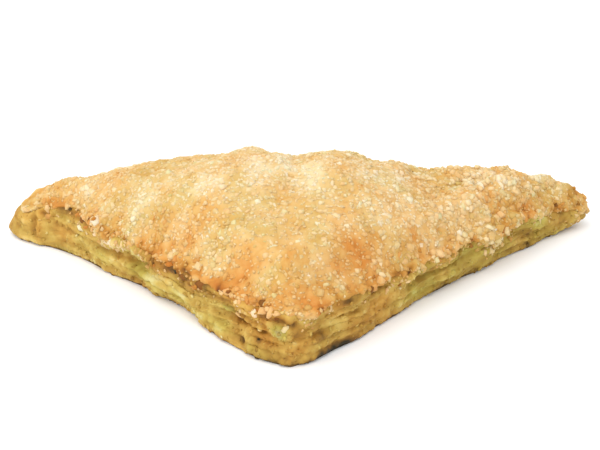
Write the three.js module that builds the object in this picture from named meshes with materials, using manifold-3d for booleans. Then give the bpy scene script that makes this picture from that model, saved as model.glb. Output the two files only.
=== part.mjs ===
// Apple turnover. A square of puff pastry, about 12 cm a side, is folded corner to corner over apple filling
// and baked under coarse sugar. It lies as a right-angled triangle: the closed fold runs along the back, and
// the two cut edges meet at the front corner. It is uncut, so it is one solid, with the relief of its crust and
// of its flaky cut edges, and the largest sugar crystals fused on.
// Millimetres, +Z up. X runs along the fold, and the front corner points to -Y. The plan below is drawn from
// a point under the filling, and the finished solid is moved to its own origin, on the underside, below the
// middle of the bounding box.

import * as THREE from "three";
import { mergeVertices } from "three/addons/utils/BufferGeometryUtils.js";
import Module from "manifold-3d";

const wasm = await Module();
wasm.setup();

// Plan: a triangle with rounded corners
const LEFT_CORNER = new THREE.Vector2(-85.6, 39.5);
const RIGHT_CORNER = new THREE.Vector2(84.6, 39.5);
const FRONT_CORNER = new THREE.Vector2(-8.3, -48.8);
const CENTRE = new THREE.Vector2(-3, 12); // the surface's rings shrink towards this point
const ORIGIN = new THREE.Vector2(-2.6, -3.6);
const CORNER_SHARPNESS = 34;

// Tips of the fold: direction and half width in degrees round the centre, how far they are drawn out, at what
// share of their height they are widest, and how far their rounded walls stand in from there at the foot and
// at the crust
const TIPS = [
  { at: 165.2, half: 3.8, out: 9.5, widest: 0.18, foot: 1, top: 6 }, // left
  { at: 15, half: 3, out: 2.8, widest: 0.3, foot: 3.2, top: 4.6 }, // right
];
const TIP_ROUNDNESS = 1.4; // 1 is a chamfer and 2 a quarter ellipse

// Crust: the lip's height over the cut edges, and how far the crust rises above it round the filling
const LIP = 12.6;
const LIP_RISES = [
  { x: -7, half: 15, rise: 2.2 },
  { x: -62, half: 9, rise: 1 },
  { x: 55, half: 28, rise: -1.8 },
];
const PLATE = 7;
const RIDGE_ROUNDING = 7;
const FOLD_RADIUS = 9;
const FOLD_WIDEST = 9.3; // height at which the closed fold bulges furthest
const FOLD_TUCK = 5; // how far its foot stands in

// The filling lifts the crust in two humps by the fold and in a broad slope towards the front corner. Smaller
// swellings and dents lie on them and along the fold.
const HUMPS = [
  { x: -29.6, y: 18.3, rx: 30, ry: 28.3, rise: 8 },
  { x: 13.2, y: 16.7, rx: 17.3, ry: 26.5, rise: 7.5 },
  { x: -9, y: -6, rx: 28.5, ry: 33.5, rise: 8.3 },
];
const DENTS = [
  { x: -4.6, y: 14, rx: 3.6, ry: 12, rise: -2.1 }, // crease between the humps
  { x: -76, y: 33, rx: 3, ry: 6, rise: 0.4 },
  { x: -64, y: 31, rx: 10, ry: 12, rise: -0.4 },
  { x: -53, y: 30, rx: 7, ry: 10, rise: 1.3 },
  { x: -17, y: 21, rx: 5, ry: 10, rise: 1.1 }, // top of the left hump
  { x: 17, y: 22, rx: 4, ry: 10, rise: -1 },
  { x: 26, y: 24, rx: 4, ry: 10, rise: 1.1 },
  { x: 45, y: 29, rx: 15, ry: 12, rise: 1.6 }, // shelf on the right
  { x: 57, y: 28, rx: 5, ry: 10, rise: 1.3 },
  { x: 65, y: 32, rx: 8, ry: 10, rise: -1.8 },
  { x: 79, y: 33, rx: 6, ry: 8, rise: -1.9 }, // the right tip sinks
];

// Cut edges: two leaves of pastry meet in a groove, under the crust's overhanging lip
const GROOVE = { height: 7.4, half: 1.1, depth: 1.5 };
const OVERHANG = { below: 1.2, half: 1.3, out: 0.9 };
const TUCK = { half: 0.6, depth: 0.8 }; // the underside's rim is drawn in
const LEAN = 1.3; // the lip stands this far in from the foot
const LAYER = { pitch: 2.1, depth: 0.3 };
const CORNER_BLEND = 6; // stretch along X over which the two cut edges blend at the front corner
const CORNER_ROUNDING = { depth: 0.9, half: 3.4 };
const CORNER_MERGE = { half: 9, groove: 0.85, overhang: 0.5 }; // the leaves close up round the front corner

// Crags of the cut edges: side, place along X, height, half sizes towards either end, and depth. Blisters
// have a negative depth.
const CRAGS = [
  { side: "left", x: -34, z: 0, half: 23, after: 2, high: 3.2, depth: 2.9 }, // foot drawn in, up to a jog
  { side: "left", x: -25, z: 1, half: 3, after: 15, high: 4, depth: -1.7 }, // foot of the lower leaf
  { side: "right", x: 2, z: 0, half: 9, high: 3, depth: -0.5 },
  { side: "right", x: 37, z: 0, half: 18, high: 4, depth: 2 }, // foot drawn in along the right
  { side: "right", x: 58, z: 0, half: 24, high: 4, depth: 1.3 },
  { side: "left", x: -69, z: 8, half: 6, high: 4, depth: -0.7 }, // smooth band beside the tip
  { side: "left", x: -78, z: 9.5, half: 1.5, high: 1.2, depth: 1.2 },
  { side: "left", x: -69, z: 12.4, half: 5, high: 1.1, depth: 1.3 }, // deep shade below the lip
  { side: "left", x: -52, z: 8, half: 5.5, high: 1.4, depth: 1.6 },
  { side: "left", x: -28, z: 11, half: 4, high: 1.3, depth: 1.1 },
  { side: "left", x: -20.5, z: 6.5, half: 1.5, high: 1, depth: 1.2 },
  { side: "left", x: -11, z: 9, half: 2.6, high: 2, depth: -0.9 }, // blister by the front corner
  { side: "right", x: 16.8, z: 10.8, half: 4.2, high: 1.3, depth: 1.6 },
  { side: "right", x: 44.7, z: 9.6, half: 3, high: 1.2, depth: 1.4 },
  { side: "right", x: 66, z: 8, half: 4, high: 2, depth: -0.8 },
  { side: "right", x: 72, z: 8.5, half: 3, high: 1.3, depth: 1.3 },
];

// Sugar: the largest crystals, on the upper crust only
const CRYSTALS = 135;
const LARGEST_CRYSTAL = 2.3;
const SMALLEST_CRYSTAL = 1.4;
const CLEAR_OF_EDGE = 3;
const SEED = 41;

// Surface: stations round the outline, heights of the rows up the wall as shares of the lip's height, and the
// crust's rings as shares of the way out from the centre, with fewer stations further in
const STATIONS = 160;
const WALL_ROWS = [0, 0.04, 0.12, 0.2, 0.28, 0.36, 0.43, 0.5, 0.57, 0.64, 0.71, 0.78, 0.85, 0.91, 0.96, 1];
const CRUST_RINGS = [
  [0.985, 0.955, 0.91, 0.85],
  [0.77, 0.68, 0.58],
  [0.46, 0.32, 0.16],
];

const bell = (t) => Math.exp(-t * t);
const smooth = (t) => THREE.MathUtils.smoothstep(t, 0, 1);

// An edge of the plan as a point on it and its inward normal
function edgeBetween(from, to) {
  const along = to.clone().sub(from).normalize();
  return { on: from, inward: new THREE.Vector2(-along.y, along.x) };
}
const LEFT_EDGE = edgeBetween(LEFT_CORNER, FRONT_CORNER);
const RIGHT_EDGE = edgeBetween(FRONT_CORNER, RIGHT_CORNER);
const FOLD_EDGE = edgeBetween(RIGHT_CORNER, LEFT_CORNER);

// Distance of a plan point inside an edge
const inside = (edge, x, y) => (x - edge.on.x) * edge.inward.x + (y - edge.on.y) * edge.inward.y;

// Outline in the direction of an angle from the centre, with the three edges moved in by an inset: a soft
// minimum of the distances to the edges, which rounds the corners, drawn out at the tips
function outlinePoint(angle, inset) {
  const c = Math.cos(angle);
  const s = Math.sin(angle);
  let sum = 0;
  for (const edge of [LEFT_EDGE, RIGHT_EDGE, FOLD_EDGE]) {
    const towards = -(c * edge.inward.x + s * edge.inward.y);
    const distance = inside(edge, CENTRE.x, CENTRE.y) - inset;
    if (towards > 0) sum += Math.pow(towards / distance, CORNER_SHARPNESS);
  }
  let reach = Math.pow(sum, -1 / CORNER_SHARPNESS);
  for (const tip of TIPS) reach += tip.out * bell((THREE.MathUtils.radToDeg(angle) - tip.at) / tip.half);
  return new THREE.Vector2(CENTRE.x + reach * c, CENTRE.y + reach * s);
}

// Angles of points of the outline an equal length apart
function stationAngles(count) {
  const fine = 4000;
  const lengths = [0];
  let last = outlinePoint(0, 0);
  for (let i = 1; i <= fine; i++) {
    const point = outlinePoint((i / fine) * 2 * Math.PI, 0);
    lengths.push(lengths[i - 1] + point.distanceTo(last));
    last = point;
  }
  const angles = [];
  let i = 0;
  for (let k = 0; k < count; k++) {
    const wanted = (k / count) * lengths[fine];
    while (lengths[i + 1] < wanted) i++;
    const share = (wanted - lengths[i]) / (lengths[i + 1] - lengths[i]);
    angles.push(((i + share) / fine) * 2 * Math.PI);
  }
  return angles;
}

// Height of the crust's lip over the cut edges, with the slow waves of a baked edge
function lipHeight(x) {
  let height = LIP + 0.35 * Math.sin(x / 6.5) + 0.25 * Math.sin(x / 2.9 + 1);
  for (const stretch of LIP_RISES) height += stretch.rise * bell((x - stretch.x) / stretch.half);
  return height;
}

// Slow unevenness of the baked crust
function crinkle(x, y) {
  const waves = Math.sin(x / 4.1 + 1.3 * Math.sin(y / 6.3)) * Math.sin(y / 3.7 + 0.8);
  return 0.45 * waves + 0.3 * Math.sin(x / 2.3 - y / 2.9);
}

// Height of the upper crust over a plan point. The distance from the nearer cut edge is rounded off where
// both are near.
function crustHeight(x, y) {
  const fromFold = inside(FOLD_EDGE, x, y);
  const fromLeft = inside(LEFT_EDGE, x, y);
  const fromRight = inside(RIGHT_EDGE, x, y);
  const fromCut = (fromLeft + fromRight - Math.hypot(fromLeft - fromRight, RIDGE_ROUNDING)) / 2;
  const lip = THREE.MathUtils.lerp(lipHeight(x), LIP, smooth(fromCut / 9));
  const clear = smooth(fromCut / 12) * smooth(fromFold / 16 + 0.2);
  let rise = PLATE * smooth(fromCut / 9 + 0.05);
  for (const hump of HUMPS) {
    const q = ((x - hump.x) / hump.rx) ** 2 + ((y - hump.y) / hump.ry) ** 2;
    rise += hump.rise * Math.exp(-Math.pow(q, 1.5)) * clear;
  }
  for (const dent of DENTS) rise += dent.rise * bell((x - dent.x) / dent.rx) * bell((y - dent.y) / dent.ry);
  rise += crinkle(x, y) * smooth(fromCut / 6) * smooth(fromFold / 8);
  const t = THREE.MathUtils.clamp(fromFold / FOLD_RADIUS, 0, 1);
  const roll = Math.sqrt(1 - (1 - t) * (1 - t));
  return FOLD_WIDEST + roll * (lip - FOLD_WIDEST + rise);
}

// How far the wall under a point of a cut edge stands in from the outline at a height. The two edges blend
// into each other at the front corner.
function cutInset(x, z, lip) {
  const right = smooth((x - FRONT_CORNER.x) / CORNER_BLEND + 0.5);
  const side = THREE.MathUtils.lerp(-1, 1, right);
  const shares = { left: 1 - right, right };
  const corner = bell((x - FRONT_CORNER.x) / CORNER_MERGE.half);
  const strength = (0.7 + 0.4 * Math.sin(x / 6.1 + 2 * side)) * (1 - CORNER_MERGE.groove * corner);
  const overhang = OVERHANG.out * (1 - CORNER_MERGE.overhang * corner);
  const waves = Math.sin((2 * Math.PI * (z + 0.6 * Math.sin(x / 9))) / LAYER.pitch);
  const layers = waves * Math.sin((Math.PI * z) / lip);
  let inset = LEAN * (z / lip) + TUCK.depth * bell(z / TUCK.half);
  inset += CORNER_ROUNDING.depth * bell((x - FRONT_CORNER.x) / CORNER_ROUNDING.half);
  inset += GROOVE.depth * strength * bell((z - GROOVE.height - 0.5 * Math.sin(x / 8)) / GROOVE.half);
  inset -= overhang * bell((z - lip + OVERHANG.below) / OVERHANG.half);
  inset += LAYER.depth * (1 + 0.6 * Math.sin(x / 4.3)) * layers;
  inset += 0.3 * Math.sin(x / 5.3 + 2 * side) + 0.25 * Math.sin(x / 2.2);
  for (const crag of CRAGS) {
    const half = x > crag.x && crag.after ? crag.after : crag.half;
    inset += shares[crag.side] * crag.depth * bell((x - crag.x) / half) * bell((z - crag.z) / crag.high);
  }
  return inset;
}

// How far the wall under the closed fold stands in at a share of its height
const foldInset = (share) => FOLD_TUCK * (1 - Math.sin((Math.PI / 2) * share));

// How far the rounded wall of a tip stands in at a share of its height: a superellipse above and below where
// it is widest
function tipInset(share, tip) {
  const above = share > tip.widest;
  const t = above ? (share - tip.widest) / (1 - tip.widest) : 1 - share / tip.widest;
  return (above ? tip.top : tip.foot) * (1 - Math.pow(1 - Math.pow(t, TIP_ROUNDNESS), 1 / TIP_ROUNDNESS));
}

// How far a direction from the centre belongs to a tip, from 0 to 1
const tipWeight = (angle, tip) => bell((THREE.MathUtils.radToDeg(angle) - tip.at) / (1.4 * tip.half));

// Column of the wall at an angle from the centre, from the underside up to the lip of the cut edges, or to
// where the closed fold bulges furthest
function wallColumn(angle) {
  const rim = outlinePoint(angle, 0);
  const cut = smooth((inside(FOLD_EDGE, rim.x, rim.y) - 1) / 8);
  const lip = lipHeight(rim.x);
  const points = WALL_ROWS.map((share) => {
    let inset = cut * cutInset(rim.x, share * lip, lip) + (1 - cut) * foldInset(share);
    for (const tip of TIPS) inset = THREE.MathUtils.lerp(inset, tipInset(share, tip), tipWeight(angle, tip));
    return outlinePoint(angle, inset);
  });
  const top = points.at(-1);
  const height = crustHeight(top.x, top.y);
  return points.map((point, row) => [point.x, point.y, height * WALL_ROWS[row]]);
}

// The pastry as one closed surface, ring by ring from the middle of the underside to the middle of the crust
function pastryGeometry() {
  const columns = stationAngles(STATIONS).map(wallColumn);
  const rings = WALL_ROWS.map((_, row) => columns.map((column) => column[row]));
  let around = rings.at(-1);
  for (const shares of CRUST_RINGS) {
    for (const out of shares) {
      rings.push(around.map(([lipX, lipY]) => {
        const x = CENTRE.x + (lipX - CENTRE.x) * out;
        const y = CENTRE.y + (lipY - CENTRE.y) * out;
        return [x, y, crustHeight(x, y)];
      }));
    }
    around = around.filter((_, k) => k % 2 === 0);
  }
  const summit = crustHeight(CENTRE.x, CENTRE.y);
  return closedGeometry(rings, [CENTRE.x, CENTRE.y, 0], [CENTRE.x, CENTRE.y, summit]);
}

// Closed mesh from rings between two poles, with its faces out. A ring has as many points as the ring below
// it, or every other one of them.
function closedGeometry(rings, bottom, top) {
  const positions = [...rings.flat(), bottom, top].flat();
  const bottomIndex = positions.length / 3 - 2;
  const index = [];
  const first = rings[0].length;
  for (let k = 0; k < first; k++) index.push(bottomIndex, (k + 1) % first, k);
  let start = 0;
  for (let r = 0; r + 1 < rings.length; r++) {
    const count = rings[r].length;
    const above = rings[r + 1].length;
    const next = start + count;
    for (let k = 0; k < above; k++) {
      const step = count / above;
      const a = start + k * step;
      const b = start + ((k + 1) * step) % count;
      const c = next + k;
      const d = next + ((k + 1) % above);
      if (step === 1) index.push(a, b, d, a, d, c);
      else index.push(a, a + 1, c, a + 1, d, c, a + 1, b, d);
    }
    start = next;
  }
  const last = rings.at(-1).length;
  for (let k = 0; k < last; k++) index.push(start + k, start + ((k + 1) % last), bottomIndex + 1);
  const geometry = new THREE.BufferGeometry();
  geometry.setAttribute("position", new THREE.Float32BufferAttribute(positions, 3));
  geometry.setIndex(index);
  return geometry;
}

// Seeded random numbers from 0 to 1
function randomFrom(seed) {
  let state = seed;
  return () => {
    state = (state * 1664525 + 1013904223) % 4294967296;
    return state / 4294967296;
  };
}

// Number i of the low-discrepancy sequence to a base
function halton(i, base) {
  let share = 1;
  let value = 0;
  for (let n = i; n > 0; n = Math.floor(n / base)) {
    share /= base;
    value += share * (n % base);
  }
  return value;
}

// Sugar crystals as tilted blocks, half sunk in the crust, the largest first, spread evenly over it
function crystalGeometries() {
  const random = randomFrom(SEED);
  const crystals = [];
  for (let i = 1; crystals.length < CRYSTALS; i++) {
    const x = THREE.MathUtils.lerp(LEFT_CORNER.x, RIGHT_CORNER.x, halton(i, 2));
    const y = THREE.MathUtils.lerp(FRONT_CORNER.y, LEFT_CORNER.y, halton(i, 3));
    const clear = Math.min(inside(LEFT_EDGE, x, y), inside(RIGHT_EDGE, x, y), inside(FOLD_EDGE, x, y));
    if (clear < CLEAR_OF_EDGE) continue;
    const size = THREE.MathUtils.lerp(LARGEST_CRYSTAL, SMALLEST_CRYSTAL, crystals.length / CRYSTALS);
    const crystal = new THREE.BoxGeometry(size, size * (0.7 + 0.3 * random()), size * 0.7);
    crystal.rotateX(0.8 * (random() - 0.5));
    crystal.rotateY(0.8 * (random() - 0.5));
    crystal.rotateZ(2 * Math.PI * random());
    crystals.push(crystal.translate(x, y, crustHeight(x, y) + 0.12 * size));
  }
  return crystals;
}

function solidFrom(geometry) {
  const bare = geometry.clone();
  bare.deleteAttribute("normal");
  bare.deleteAttribute("uv");
  const merged = mergeVertices(bare, 1e-4);
  return new wasm.Manifold(
    new wasm.Mesh({
      numProp: 3,
      vertProperties: new Float32Array(merged.attributes.position.array),
      triVerts: new Uint32Array(merged.index.array),
    }),
  );
}

function geometryFrom(solid) {
  const mesh = solid.getMesh();
  const geometry = new THREE.BufferGeometry();
  geometry.setAttribute("position", new THREE.BufferAttribute(new Float32Array(mesh.vertProperties), 3));
  geometry.setIndex(new THREE.BufferAttribute(new Uint32Array(mesh.triVerts), 1));
  geometry.computeVertexNormals();
  return geometry;
}

// The whole turnover, moved to its origin
function turnoverGeometry() {
  let solid = solidFrom(pastryGeometry());
  for (const crystal of crystalGeometries()) solid = solid.add(solidFrom(crystal));
  return geometryFrom(solid).translate(-ORIGIN.x, -ORIGIN.y, 0);
}

const bakedPastry = new THREE.MeshStandardMaterial({ color: 0xe9c080, roughness: 0.75, metalness: 0 });

const turnover = new THREE.Mesh(turnoverGeometry(), bakedPastry);
turnover.name = "turnover";

const group = new THREE.Group();
group.add(turnover);

export default group;
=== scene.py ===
import bmesh
import bpy
import numpy as np
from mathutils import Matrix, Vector


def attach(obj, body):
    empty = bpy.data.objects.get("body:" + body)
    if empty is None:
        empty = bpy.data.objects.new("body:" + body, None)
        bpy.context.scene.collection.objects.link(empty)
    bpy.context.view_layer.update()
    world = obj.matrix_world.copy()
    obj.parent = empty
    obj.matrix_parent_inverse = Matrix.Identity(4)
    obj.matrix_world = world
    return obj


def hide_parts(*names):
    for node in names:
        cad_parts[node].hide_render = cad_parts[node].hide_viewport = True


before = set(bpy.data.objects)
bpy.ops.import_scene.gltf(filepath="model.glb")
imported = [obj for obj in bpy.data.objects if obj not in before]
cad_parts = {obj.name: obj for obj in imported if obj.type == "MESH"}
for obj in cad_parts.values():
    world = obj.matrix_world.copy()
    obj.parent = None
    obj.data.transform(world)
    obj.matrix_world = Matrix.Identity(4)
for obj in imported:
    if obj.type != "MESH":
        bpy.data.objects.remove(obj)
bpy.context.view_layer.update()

# Apple turnover: a square of puff pastry folded corner to corner over its filling, and baked under
# coarse sugar. Sizes are in millimetres, with +Z up, X along the closed fold and the front corner
# towards -Y, from a point under the filling. place() turns them to metres from the part's origin.


# Leaves. The two halves of the square, of laminated dough, lie one on the other, baked together
# along a groove at the cut edges, which opened there in thin leaves. The lower half lies flat on
# its browned underside, and the filling lifts the upper one in two humps and a front slope.

MM = 0.001
ORIGIN = np.array([-2.6, -3.6, 0])  # the part's own origin
LEFT_CORNER = np.array([-85.6, 39.5])
RIGHT_CORNER = np.array([84.6, 39.5])
FRONT_CORNER = np.array([-8.3, -48.8])
CENTRE = np.array([-3, 12])  # the surface's rings shrink towards this point
CORNER_SHARPNESS = 34
# Tips of the fold: at and half are degrees round the centre, and widest is a share of the height
LEFT_TIP = dict(at=165.2, half=3.8, out=9.5, widest=0.18, foot=1, top=6)
RIGHT_TIP = dict(at=15, half=3, out=2.8, widest=0.3, foot=3.2, top=4.6)
TIPS = [LEFT_TIP, RIGHT_TIP]
TIP_ROUNDNESS = 1.4
TIP_REACH = 1.4  # half widths over which a tip's rounding passes into the wall

LIP = 12.6  # the crust's lip over the cut edges, above the underside
LIP_WAVES = [dict(high=0.35, length=6.5, phase=0), dict(high=0.25, length=2.9, phase=1)]
LIP_RISES = [
    dict(x=-7, half=15, rise=2.2),
    dict(x=-62, half=9, rise=1),
    dict(x=55, half=28, rise=-1.8),
]
PLATE = 7  # the crust round the filling, above the lip
PLATE_FROM_LIP = 9
HUMPS_FROM_LIP = 12
HUMPS_FROM_FOLD = 16
RIDGE_ROUNDING = 7  # where the slopes from the two cut edges meet
FOLD_RADIUS = 9
FOLD_WIDEST = 9.3  # height at which the closed fold bulges furthest
FOLD_TUCK = 5  # how far its foot stands in
HUMPS = [
    dict(x=-29.6, y=18.3, rx=30, ry=28.3, rise=8),
    dict(x=13.2, y=16.7, rx=17.3, ry=26.5, rise=7.5),
    dict(x=-9, y=-6, rx=28.5, ry=33.5, rise=8.3),
]
DENTS = [  # dents and smaller swellings
    dict(x=-4.6, y=14, rx=3.6, ry=12, rise=-2.1),  # crease between the humps
    dict(x=-76, y=33, rx=3, ry=6, rise=0.4),
    dict(x=-64, y=31, rx=10, ry=12, rise=-0.4),
    dict(x=-53, y=30, rx=7, ry=10, rise=1.3),
    dict(x=-17, y=21, rx=5, ry=10, rise=1.1),
    dict(x=17, y=22, rx=4, ry=10, rise=-1),
    dict(x=26, y=24, rx=4, ry=10, rise=1.1),
    dict(x=45, y=29, rx=15, ry=12, rise=1.6),  # shelf on the right
    dict(x=57, y=28, rx=5, ry=10, rise=1.3),
    dict(x=65, y=32, rx=8, ry=10, rise=-1.8),
    dict(x=79, y=33, rx=6, ry=8, rise=-1.9),
]

GROOVE = dict(height=7.4, half=1.1, depth=1.5)
OVERHANG = dict(below=1.2, half=1.3, out=0.9)
TUCK = dict(half=0.6, depth=0.8)  # the underside's rim is drawn in
LEAN = 1.3  # the lip stands this far in from the foot
LAYER = dict(pitch=2.1, depth=0.3)
# At the front corner the two cut edges blend over a stretch along X, and their leaves close up
CORNER_BLEND = 6
CORNER_ROUNDING = dict(depth=1.5, half=4.2)
CORNER_MERGE = dict(half=9, groove=0.85, overhang=0.5)
LEFT, RIGHT = -1, 1
# Hollows of the cut edges, and blisters with a negative depth. Half and high are half sizes along X
# and up, and after is the half size on the right of x where that differs.
CRAGS = [
    dict(side=LEFT, x=-34, z=0, half=23, after=2, high=3.2, depth=2.9),
    dict(side=LEFT, x=-25, z=1, half=3, after=15, high=4, depth=-1.7),
    dict(side=RIGHT, x=2, z=0, half=9, high=3, depth=-0.5),
    dict(side=RIGHT, x=37, z=0, half=18, high=4, depth=2),
    dict(side=RIGHT, x=58, z=0, half=24, high=4, depth=1.3),
    dict(side=LEFT, x=-69, z=8, half=6, high=4, depth=-0.7),
    dict(side=LEFT, x=-78, z=9.5, half=1.5, high=1.2, depth=1.2),
    dict(side=LEFT, x=-69, z=12.4, half=5, high=1.1, depth=1.3),
    dict(side=LEFT, x=-52, z=8, half=5.5, high=1.4, depth=1.6),
    dict(side=LEFT, x=-28, z=11, half=4, high=1.3, depth=1.1),
    dict(side=LEFT, x=-20.5, z=6.5, half=1.5, high=1, depth=1.2),
    dict(side=LEFT, x=-11, z=9, half=2.6, high=2, depth=-0.9),
    dict(side=RIGHT, x=16.8, z=10.8, half=4.2, high=1.3, depth=1.6),
    dict(side=RIGHT, x=44.7, z=9.6, half=3, high=1.2, depth=1.4),
    dict(side=RIGHT, x=66, z=8, half=4, high=2, depth=-0.8),
    dict(side=RIGHT, x=72, z=8.5, half=3, high=1.3, depth=1.3),
]

LEAF_PITCH = 1.5  # the thin leaves that the baked dough opens into
CALM = dict(half=15, corner=0.92, right=0.4)  # the leaves show less at the corner and on the right
WALL_PEBBLE = 2.3
# Uneven places at random: how much of them, how far apart, and the seed of their random values
WALL_LUMPS = [dict(share=0.4, pitch=(3.6, 3.6, 2.4), seed=13), dict(share=0.16, pitch=1.2, seed=14)]
WALL_TONES = [dict(share=0.14, pitch=(5, 5, 3), seed=15), dict(share=0.08, pitch=1.7, seed=16)]
UNDERSIDE_TONES = [dict(share=0.14, pitch=9, seed=21), dict(share=0.1, pitch=3, seed=22)]
DRAWN_IN = 0.8  # the wall behind the skin that hangs over it
UNDER_SKIN = 1.3  # the top of the leaves below the crust
STATIONS = 960
WALL_ROWS = 64
# Shares of the way out from the centre. Each next block of the top has half as many stations.
UNDERSIDE_RINGS = [0.15, 0.4, 0.65, 0.85, 0.96]
TOP_RINGS = [[0.985], [0.955], [0.9], [0.8, 0.65, 0.5, 0.35, 0.2]]

# Bake and shade runs from 0, burnt, to 1, pale: mostly browning, with painted shade in the hollows,
# pits and recesses of the cut edges, along the foot and on the right cut edge, and painted light
# along the crease between the humps. Hue runs from -2, grey, over -1, olive, and 0 to 1, peach
PLAIN_BAKE = 0.62
UNDERSIDE_BAKE = 0.36
# The line that met the tray is darkened both as browning and as painted contact shade.
TRAY_BROWNING_AND_SHADE = 0.04  # the line that met the tray
MARK_STRENGTH = 0.7  # share of a mark's bake that shows
MARK_REACH = 6  # inwards from the cut edges
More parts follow.
